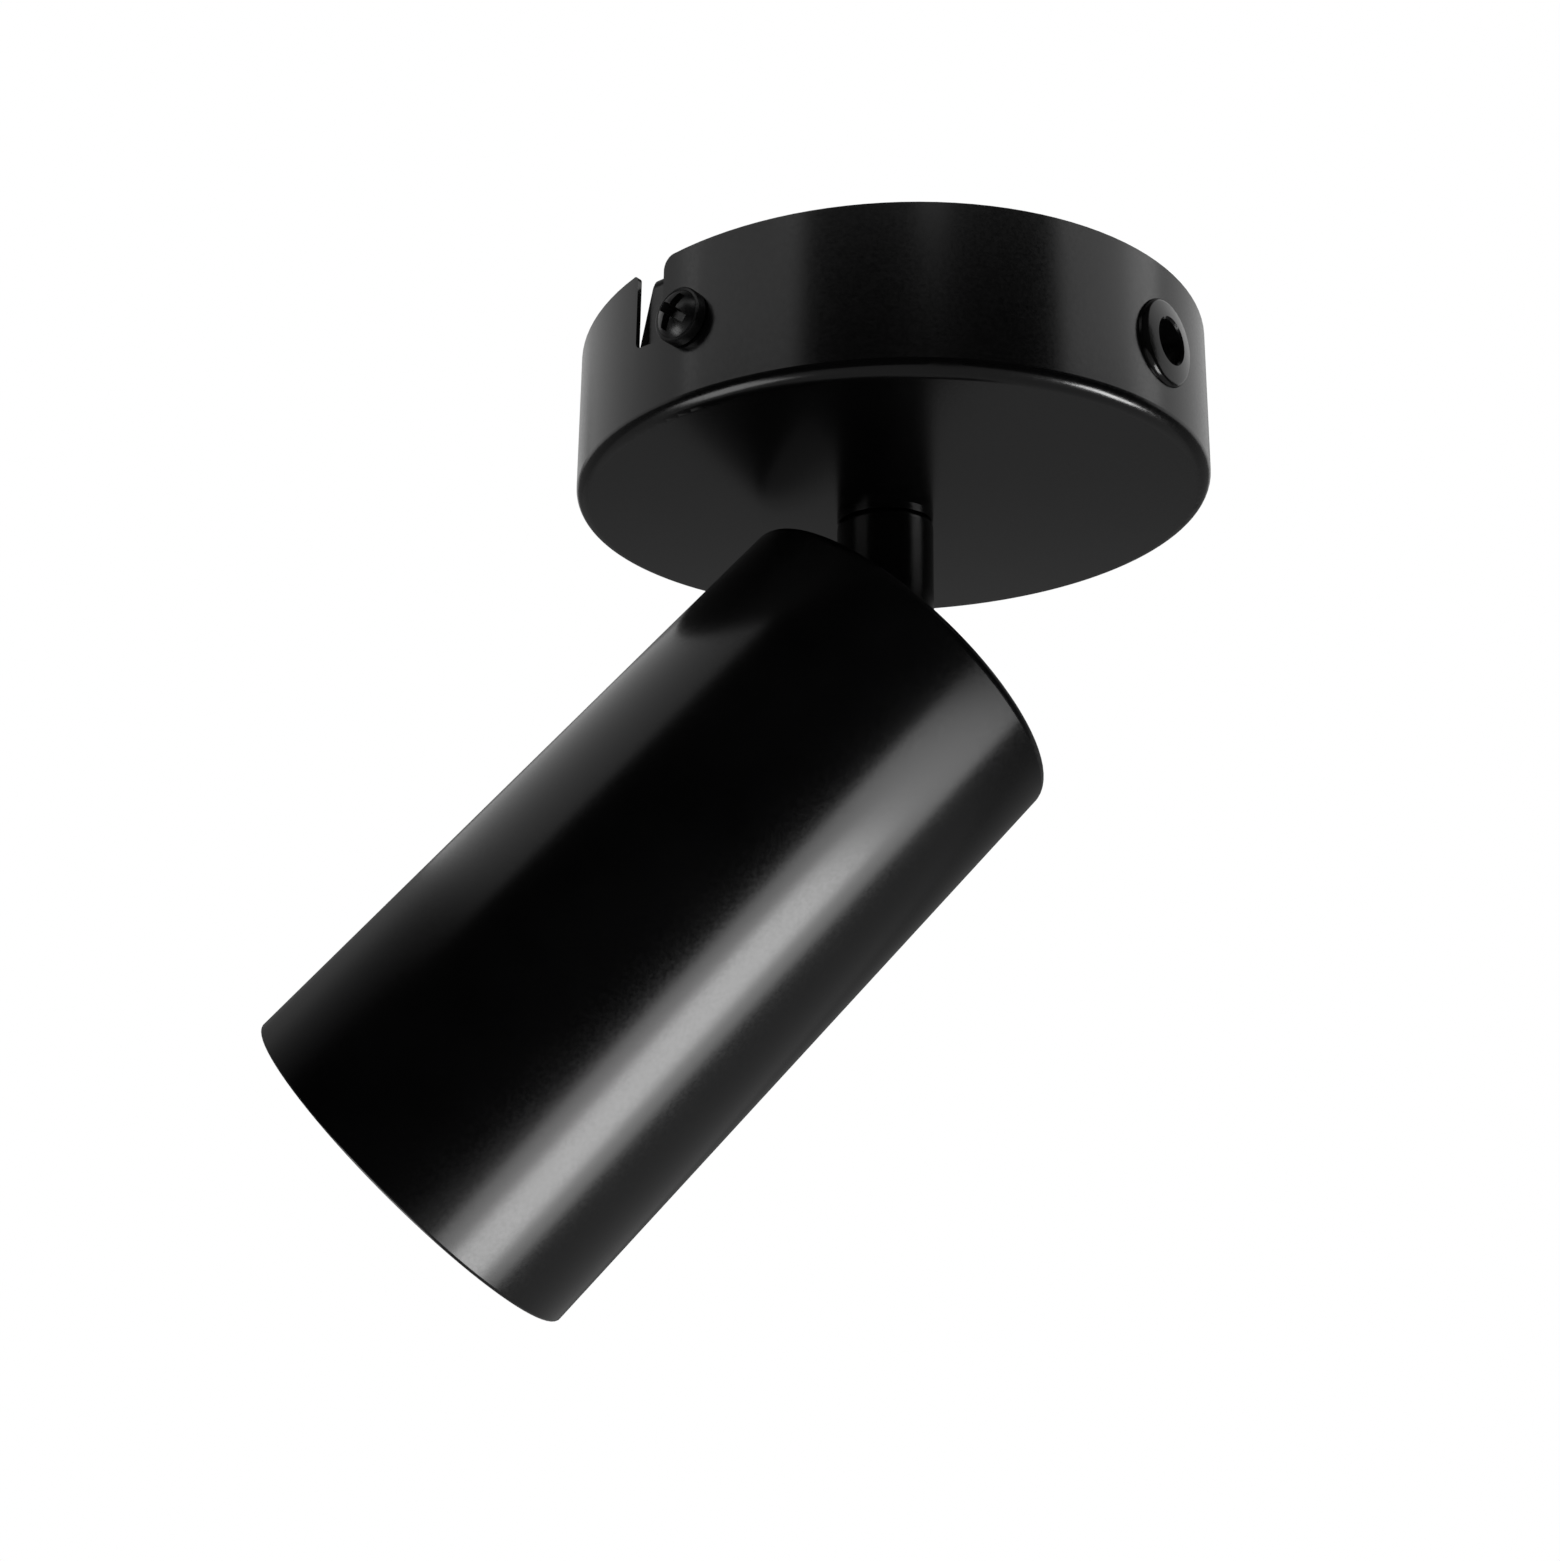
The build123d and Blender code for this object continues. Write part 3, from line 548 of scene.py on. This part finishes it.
# The strap runs from one canopy screw to the other
screw_ends = solids("canopy_screws")
strap_along = Vector((screw_ends[1] - screw_ends[0].mean(0)).mean(0)) * Vector((1, 1, 0))
strap_along.normalize()
strap_across = up.cross(strap_along)
canopy_screw_turn = radians(-38)
small_pitch, canopy_pitch, earth_pitch = 0.5 * MM, 0.6 * MM, 0.7 * MM

for place, points in enumerate(screw_ends):
    name = f"canopy_screw_{place}"
    way = strap_along * (1 if place else -1)
    cross_screw(name, "canopy_screws", points, way, up, canopy_pitch, canopy_screw_turn)
for points in solids("earth_screw"):
    cross_screw("earth_screw_head", "earth_screw", points, -up, strap_across, earth_pitch)
for points in solids("block_screw"):
    cross_screw("block_screw_head", "block_screw", points, -up, strap_across, small_pitch)
for place, points in enumerate(solids("holder_screws")):
    name = f"holder_screw_{place}"
    cross_screw(name, "holder_screws", points, -head_way, head_side, small_pitch)
for place, points in enumerate(solids("terminal_screws")):
    grub_screw(f"terminal_screw_{place}", "terminal_screws", points, -up, strap_across)


# Threaded nipple: a hollow tube with a fine thread

def nipple():
    """Thread outside and a plain bore inside."""
    low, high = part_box("threaded_nipple")
    radius = (high.x - low.x) / 2
    bore = 0.75 * radius
    pitch = 1.0 * MM
    core = radius - 0.5 * pitch
    shape = bmesh.new()
    thread(shape, radius, low.z, high.z, pitch, steps=64)
    lathe(shape, ((core, low.z), (bore, low.z), (bore, high.z), (core, high.z), (core, low.z)))
    return piece("nipple_thread", to_mesh("nipple_thread", shape), "threaded_nipple")


nipple()


# Lamp lens: pressed rings on the outer face

def lens():
    """Disc with rounded rings, in the place of the plain CAD lens."""
    sizes = turned_sizes(solids("lamp_lens")[0], head_way)
    back, front, radius = sizes.tip, sizes.top, sizes.head
    ring_count = 9
    ring = 0.92 * radius / ring_count
    edge, groove, slope = 0.3 * MM, 0.5 * MM, 0.12 * MM
    profile = [(0, back), (radius, back), (radius, front - edge), (0.96 * radius, front)]
    for place in range(ring_count, 0, -1):
        outer = place * ring
        profile += [
            (outer, front - groove),
            (outer - 0.25 * ring, front - slope),
            (outer - 0.5 * ring, front),
            (outer - 0.75 * ring, front - slope),
        ]
    profile.append((0, front - groove))
    shape = bmesh.new()
    lathe(shape, profile, steps=96)
    bmesh.ops.recalc_face_normals(shape, faces=shape.faces)
    shape.transform(standing(head_way, head_side, sizes.foot))
    return piece("lens_rings", to_mesh("lens_rings", shape), "lamp_lens")


lens()


# Grommet: lower outer lip than that of the CAD solid, as in the photograph

def grommet_lip():
    """Rubber tube through the canopy's wall, with a low coned face and a rounded rim."""
    entry = mounts["cable_entry"]
    way = Vector(entry["axis"])
    sizes = turned_sizes(solids("cable_grommet")[0], way)
    back, radius = sizes.tip, sizes.head
    bore = entry["dims"]["r_mm"] * MM
    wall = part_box("canopy")[1].x
    rim, face = wall + 0.7 * MM, wall + 1.0 * MM
    rim_round, bore_edge = 0.8 * MM, 0.3 * MM
    profile = [(bore, back), (radius, back)]
    for degrees in (0, 20, 40, 60, 80):
        turn = radians(degrees)
        profile.append((radius - rim_round * (1 - cos(turn)), rim - rim_round * (1 - sin(turn))))
    profile += [(bore + bore_edge, face), (bore, face - bore_edge), (bore, back)]
    shape = bmesh.new()
    lathe(shape, profile)
    bmesh.ops.recalc_face_normals(shape, faces=shape.faces)
    shape.transform(standing(way, up, sizes.foot))
    return piece("grommet_lip", to_mesh("grommet_lip", shape), "cable_grommet")


grommet = grommet_lip()


# Inner leads: smooth insulated wires along the CAD routes

lead_radius = 1.0 * MM
terminal_z, pole_pitch = -8 * MM, 9 * MM
lead_end, lead_turn = 25.9 * MM, 8 * MM
stem_place, stem_end, leads_meet = 2.9 * MM, -63 * MM, -40 * MM
pivot_depth, pivot_side = 4.5 * MM, 1.5 * MM
pin_place, clear_depth, holder_depth = 5 * MM, 22.5 * MM, 30.3 * MM
earth_turn, earth_straight = 9 * MM, -1 * MM
lug_end, lug_z = -11.5 * MM, -3.3 * MM
canopy_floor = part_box("canopy")[0].z
nipple_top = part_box("threaded_nipple")[1].z
cap_centre = pivot - head_way * pivot_depth - head_side * pivot_side


def on_strap(along, across, z):
    """Point over the mounting strap's own directions."""
    return strap_along * along + strap_across * across + up * z


def in_stem(side, z):
    """Point in the stem's bore, on one side of its axis."""
    return Vector((side * stem_place, 0, z))


def in_head(across, depth):
    """Point in the head, across the hinge and down its axis."""
    return cap_centre + head_way * depth - depth_way * across


def wire(name, route, node, rides):
    """Tube along a route, as a mesh from a NURBS curve, and the points of its centreline."""
    curve = bpy.data.curves.new(name, "CURVE")
    curve.dimensions = "3D"
    curve.use_fill_caps = True
    curve.bevel_resolution = 4
    spline = curve.splines.new("NURBS")
    spline.points.add(len(route) - 1)
    for place, point in zip(spline.points, route):
        place.co = (*point, 1)
    spline.order_u = 3
    spline.use_endpoint_u = True
    spline.resolution_u = 16
    thing = in_scene(name, curve)
    meshes = []
    for radius in (0, lead_radius):
        curve.bevel_depth = radius
        graph = bpy.context.evaluated_depsgraph_get()
        meshes.append(bpy.data.meshes.new_from_object(thing.evaluated_get(graph)))
    bpy.data.objects.remove(thing)
    line, tube = meshes
    return piece(name, tube, node, rides), [corner.co.copy() for corner in line.vertices]


for name, side, across in (("live", -1, pole_pitch), ("neutral", 1, 0)):
    node = f"{name}_lead"
    upper_route = [
        on_strap(lead_end, across, terminal_z),
        on_strap(lead_turn, across, terminal_z),
        in_stem(side, terminal_z),
        in_stem(side, nipple_top),
        in_stem(side, leads_meet),
    ]
    lower_route = [
        in_stem(side, leads_meet),
        in_stem(side, stem_end),
        in_head(side * pin_place, clear_depth),
        in_head(side * pin_place, holder_depth),
    ]
    upper, upper_path = wire(f"{node}_upper", upper_route, node, rides=False)
    lower, lower_path = wire(f"{node}_lower", lower_route, node, rides=False)
    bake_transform(upper, "canopy", "stem", up * terminal_z, up * canopy_floor)
    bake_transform(lower, "stem", "head", pivot, in_head(0, clear_depth))

earth_route = [
    on_strap(lead_end, -pole_pitch, terminal_z),
    on_strap(earth_turn, -pole_pitch, terminal_z),
    on_strap(earth_straight, 0, lug_z),
    on_strap(lug_end, 0, lug_z),
]
earth, earth_path = wire("earth_wire", earth_route, "earth_lead", rides=True)


# Camera, fitted to the photograph's outlines

camera_place = Vector((-0.04121, -0.21374, -0.11008))
camera_right = Vector((0.997332, -0.069512, 0.022308))
camera_up = Vector((-0.035137, -0.189202, 0.981309))
camera_lens = 32.439
camera_shift = 0.043792

camera_data = bpy.data.cameras.new("photo_camera")
camera_data.lens = camera_lens
camera_data.sensor_width = 36.0
camera_data.shift_x = camera_shift
camera_data.clip_start = 10 * MM
camera = in_scene("photo_camera", camera_data)
camera_turn = Matrix((camera_right, camera_up, camera_right.cross(camera_up))).transposed()
camera.matrix_world = Matrix.Translation(camera_place) @ camera_turn.to_4x4()
bpy.context.scene.camera = camera


# Lamps: each lights only the pieces that it is given, so that they mirror their own lamps

def softbox(name, lit, aim, way, distance, size, level, along=up):
    """Rectangular lamp of that brightness, facing a point from a direction, its height along another."""
    width, height = size
    data = bpy.data.lights.new(name, "AREA")
    data.shape = "RECTANGLE"
    data.size = width
    data.size_y = height
    data.energy = level * pi * width * height
    lamp = in_scene(name, data)
    back = Vector(way).normalized()
    side = Vector(along).cross(back).normalized()
    facing = Matrix((side, back.cross(side), back)).transposed().to_4x4()
    lamp.matrix_world = Matrix.Translation(aim + back * distance) @ facing
    lamp.visible_camera = False
    receivers = bpy.data.collections.new(f"lit_by_{name}")
    for thing in lit:
        receivers.objects.link(thing)
    lamp.light_linking.receiver_collection = receivers
    return lamp


def shown_on(body):
    """Meshes that ride one body."""
    meshes = [thing for thing in bpy.data.objects if thing.type == "MESH"]
    return [thing for thing in meshes if body_of(thing) == [body]]


head_pieces = shown_on("head")
middle_depth = 58 * MM
head_middle = pivot + head_way * middle_depth


def head_lamps():
    """A bright key with a dimmer edge for the stripe, a card for the left flank, a lamp at the mouth.

    The key also makes the small highlight on the grommet's rim."""
    key_depth, edge_depth = 68 * MM, 18 * MM
    key_along = (-0.594, 0.038, -0.803)
    flank_setback = 0.53
    softbox(
        "key_softbox",
        head_pieces + [grommet],
        pivot + head_way * key_depth,
        way=(0.606, -0.552, -0.573),
        distance=0.368,
        size=(0.13, 0.25),
        level=7.0,
        along=key_along,
    )
    softbox(
        "key_edge_softbox",
        head_pieces,
        pivot + head_way * edge_depth,
        way=(0.595, -0.570, -0.566),
        distance=0.366,
        size=(0.295, 0.32),
        level=3.2,
        along=key_along,
    )
    softbox(
        "flank_softbox",
        head_pieces,
        head_middle + depth_way * flank_setback,
        way=(-0.56, 0, 0.83),
        distance=0.6,
        size=(0.3, 1.42),
        level=0.46,
        along=depth_way,
    )
    softbox(
        "mouth_softbox",
        head_pieces,
        head_middle,
        way=head_way,
        distance=0.4,
        size=(0.25, 0.25),
        level=2.5,
        along=depth_way,
    )


head_lamps()


canopy = nodes["canopy"]
canopy_middle = up * canopy_floor / 2
canopy_pieces = [thing for thing in shown_on("canopy") if thing is not grommet]


def canopy_lamps():
    """Cards all round for the wall, two low lamps for its rounded edge, a dim card for the underside."""
    side_cards = {
        "left_softbox": ((-0.76, -0.42, 0.50), 0.75),
        "right_softbox": ((0.82, -0.28, 0.50), 0.9),
    }
    for name, (way, level) in side_cards.items():
        softbox(name, canopy_pieces, canopy_middle, way, distance=0.7, size=(0.5, 0.2), level=level)
    top_cards = {
        "top_left_softbox": (-0.23, -0.70, 0.68),
        "top_right_softbox": (0.35, -0.65, 0.68),
    }
    for name, way in top_cards.items():
        softbox(name, canopy_pieces, canopy_middle, way, distance=0.7, size=(0.6, 0.2), level=0.6)
    rear_cards = {
        "rear_left_softbox": (-0.85, 0.35, 0.42),
        "rear_softbox": (0, 0.9, 0.42),
        "rear_right_softbox": (0.85, 0.35, 0.42),
    }
    for name, way in rear_cards.items():
        softbox(name, canopy_pieces, canopy_middle, way, distance=0.8, size=(0.9, 0.4), level=0.42)
    softbox(
        "low_left_softbox",
        canopy_pieces,
        canopy_middle,
        way=(-0.74, -0.28, -0.61),
        distance=0.5,
        size=(0.25, 0.25),
        level=3.0,
    )
    softbox(
        "low_right_softbox",
        [canopy],
        canopy_middle,
        way=(0.80, -0.30, -0.52),
        distance=0.5,
        size=(0.2, 0.1),
        level=16.0,
    )
    softbox(
        "back_softbox",
        [canopy],
        canopy_middle,
        way=(0.10, 0.93, -0.28),
        distance=0.8,
        size=(1.0, 0.16),
        level=0.04,
    )


canopy_lamps()


def grommet_lamp():
    """A card that shows in the grommet's face."""
    softbox(
        "grommet_softbox",
        [grommet],
        canopy_middle,
        way=(0.88, 0.18, 0.40),
        distance=0.6,
        size=(0.6, 0.6),
        level=0.58,
    )


grommet_lamp()


def ceiling_lamp():
    """A large card over the open top, for the bright parts in the canopy and the stem."""
    inner_pieces = [
        thing
        for thing in canopy_pieces + shown_on("stem")
        if not thing.data.materials[0].name.startswith("black")
    ]
    softbox(
        "ceiling_softbox",
        inner_pieces,
        canopy_middle,
        way=up,
        distance=0.6,
        size=(1.2, 1.2),
        level=1.2,
        along=depth_way,
    )


ceiling_lamp()


# Pale floor far below the part, lit by its own overhead lamp, fading into the white surroundings

floor_radius = 0.9
floor_height = -0.46
fade_start, fade_end = 0.35 * floor_radius, 0.9 * floor_radius


def straight(tree):
    """One for rays that come straight from the camera or through glass, and zero for the rest."""
    ray = add(tree, "ShaderNodeLightPath")
    return calculate(tree, "MAXIMUM", ray.outputs["Is Camera Ray"], ray.outputs["Is Transmission Ray"])


def pale_floor():
    """Matt floor: pale to the camera and through glass, dimmer in reflections, white at its edge."""
    material, tree, shader = new_material("pale_floor")
    shader.inputs["Roughness"].default_value = 0.9
    shader.inputs["Specular IOR Level"].default_value = 0.0
    shown = straight(tree)
    pale = two_tone(tree, noise(tree, 20 * MM), (0.87, 0.87, 0.87), (0.89, 0.89, 0.89))
    dim = (0.25, 0.25, 0.25, 1)
    tree.links.new(mixed(tree, "RGBA", shown, dim, pale), shader.inputs["Base Color"])
    place = add(tree, "ShaderNodeTexCoord")
    reach = add(tree, "ShaderNodeVectorMath", operation="LENGTH")
    tree.links.new(place.outputs["Object"], reach.inputs[0])
    edge = spread(tree, reach.outputs["Value"], 0, 1, fade_start, fade_end)
    white = add(tree, "ShaderNodeEmission")
    faded = add(tree, "ShaderNodeMixShader")
    tree.links.new(calculate(tree, "MULTIPLY", edge, shown), faded.inputs[0])
    tree.links.new(shader.outputs[0], faded.inputs[1])
    tree.links.new(white.outputs[0], faded.inputs[2])
    tree.links.new(faded.outputs[0], tree.nodes["Material Output"].inputs["Surface"])
    return material


disc = bmesh.new()
bmesh.ops.create_circle(disc, cap_ends=True, segments=96, radius=floor_radius)
floor_mesh = to_mesh("floor", disc)
floor_mesh.materials.append(pale_floor())
floor = in_scene("floor", floor_mesh)
floor.location.z = floor_height

overhead = softbox(
    "floor_softbox",
    [floor],
    floor.location,
    way=up,
    distance=1.1,
    size=(1.1, 1.1),
    level=1.3,
    along=depth_way,
)
overhead.visible_glossy = False


# Surroundings

white_level = 1.0
soft_level = 0.7
room_level, high_room_level = 0.12, 0.2
room_front, room_back = -0.2, 0.55
room_low, room_high = 0.28, 0.46


def studio_world():
    """White to the camera and through glass, plain for soft light, graded in reflections.

    Reflections see a dim room behind the object, lighter high up, and a dark room in front of it."""
    world = bpy.data.worlds.new("studio")
    world.use_nodes = True
    world.cycles.sampling_method = "NONE"
    tree = world.node_tree
    background = tree.nodes["Background"]
    background.inputs["Color"].default_value = (1, 1, 1, 1)
    place = add(tree, "ShaderNodeTexCoord")
    split = add(tree, "ShaderNodeSeparateXYZ")
    tree.links.new(place.outputs["Generated"], split.inputs[0])
    behind = spread(tree, split.outputs["Y"], 0, 1, room_front, room_back)
    above = spread(tree, split.outputs["Z"], room_level, high_room_level, room_low, room_high)
    room = calculate(tree, "MULTIPLY", behind, above)
    ray = add(tree, "ShaderNodeLightPath")
    other_rays = mixed(tree, "FLOAT", ray.outputs["Is Glossy Ray"], soft_level, room)
    strength = mixed(tree, "FLOAT", straight(tree), other_rays, white_level)
    tree.links.new(strength, background.inputs["Strength"])
    bpy.context.scene.world = world


studio_world()
bpy.context.scene.view_settings.view_transform = "Standard"
